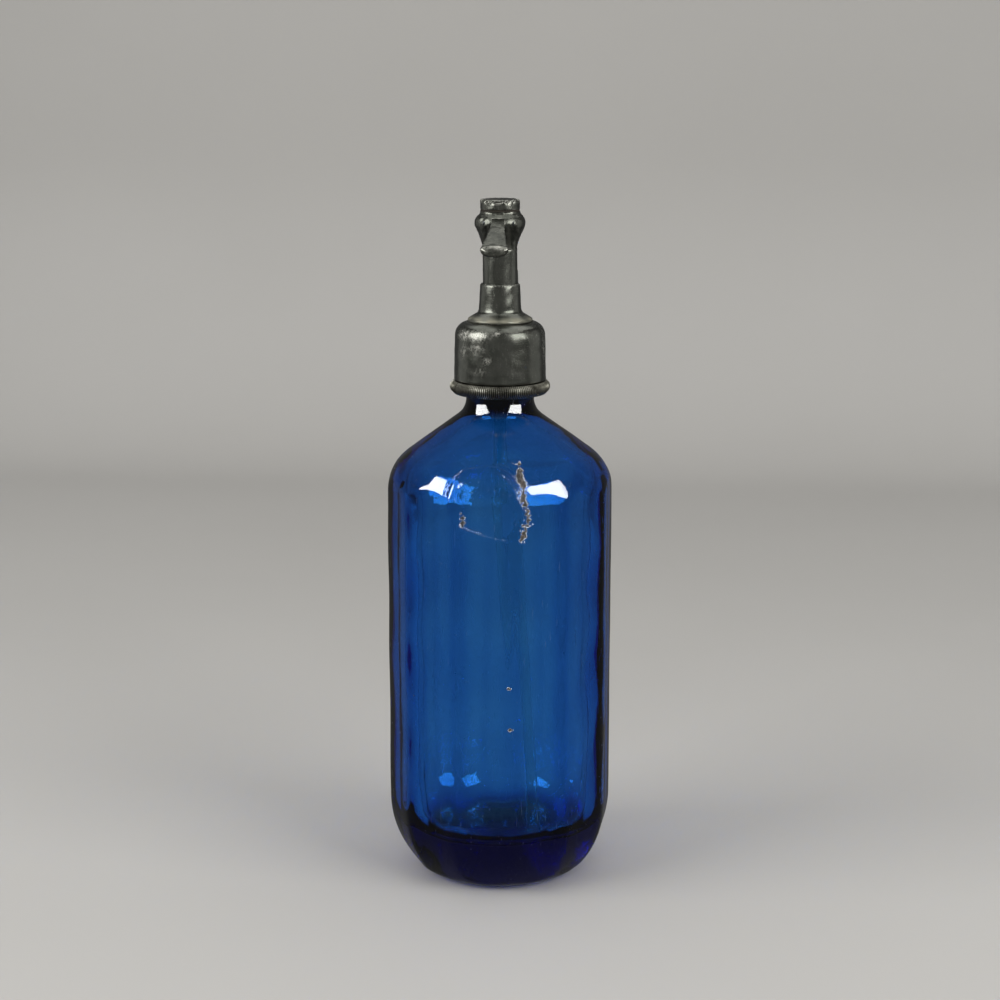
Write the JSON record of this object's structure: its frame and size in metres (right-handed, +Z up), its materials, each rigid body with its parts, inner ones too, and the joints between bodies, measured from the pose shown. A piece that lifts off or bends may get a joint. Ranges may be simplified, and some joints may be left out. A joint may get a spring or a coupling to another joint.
{
  "type": "soda siphon",
  "caption": "Soda siphon: thick faceted blue glass bottle with a screwed-on pewter valve head, a front press lever and a rear swan-neck spout.",
  "frame": {"origin": "centre of the bottle's foot, on the surface that it stands on", "axes": "+Z up the siphon's axis; -Y the way the lever points; +Y the way the spout points; +X to the right as seen from the lever's side"},
  "size_m": [0.0996, 0.0996, 0.3051],
  "materials": {
    "cobalt_glass": "pressed cobalt glass, polished by use, chipped and scratched",
    "tube_glass": "drawn clear glass tube",
    "pewter": "dull worn pewter with bright scuffs",
    "brass": "dull turned brass",
    "steel": "plain drawn steel",
    "rubber": "black rubber",
    "fibre": "oiled red fibre washer"
  },
  "bodies": {
    "root": {"glass_bottle": "cobalt_glass", "dip_tube": "tube_glass", "tube_gasket": "rubber", "tube_nut": "brass", "neck_gasket": "rubber", "bell_cap": "pewter", "valve_base": "brass", "seat_insert": "brass", "standpipe_socket": "pewter", "standpipe_tube": "pewter", "packing_ring": "fibre", "packing_nut": "brass", "valve_head": "pewter", "lever_pin": "steel", "spout": "pewter", "spout_tip": "pewter"},
    "lever": {"lever": "pewter"},
    "stem": {"valve_stem": "brass", "valve_cup": "brass", "valve_washer": "rubber", "washer_screw": "brass", "spring_plate": "brass", "valve_spring": "steel"},
    "cap_carrier": {"cap_washer": "fibre"},
    "cap": {"top_cap": "pewter"},
    "ring_carrier": {"neck_washer": "fibre"},
    "ring": {"ring_half_back": "pewter", "ring_half_front": "pewter"}
  },
  "joints": [
    {"name": "lever_press", "type": "hinge", "parent": "root", "child": "lever", "pos_m": [0, -0.0083, 0.2951], "axis": [1, 0, 0], "range_deg": [0, 14.1]},
    {"name": "stem_lift", "type": "slide", "parent": "root", "child": "stem", "axis": [0, 0, 1], "range_m": [0, 0.00203], "stiffness_N_per_m": 400, "springref_m": -0.012, "deforming": ["valve_spring"]},
    {"name": "cap_rise", "type": "slide", "parent": "root", "child": "cap_carrier", "axis": [0, 0, 1], "range_m": [0, 0.004]},
    {"name": "cap_turn", "type": "hinge", "parent": "cap_carrier", "child": "cap", "pos_m": [0, 0, 0.3], "axis": [0, 0, 1], "range_deg": [0, 1441]},
    {"name": "ring_drop", "type": "slide", "parent": "root", "child": "ring_carrier", "axis": [0, 0, -1], "range_m": [0, 0.0045]},
    {"name": "ring_turn", "type": "hinge", "parent": "ring_carrier", "child": "ring", "pos_m": [0, 0, 0.2234], "axis": [0, 0, -1], "range_deg": [0, 1081]}
  ],
  "couplings": [
    {"joint": "lever_press", "follows": "stem_lift", "rad_per_m": 120.48},
    {"joint": "cap_turn", "follows": "cap_rise", "rad_per_m": 6283.2},
    {"joint": "ring_turn", "follows": "ring_drop", "rad_per_m": 4188.8}
  ]
}
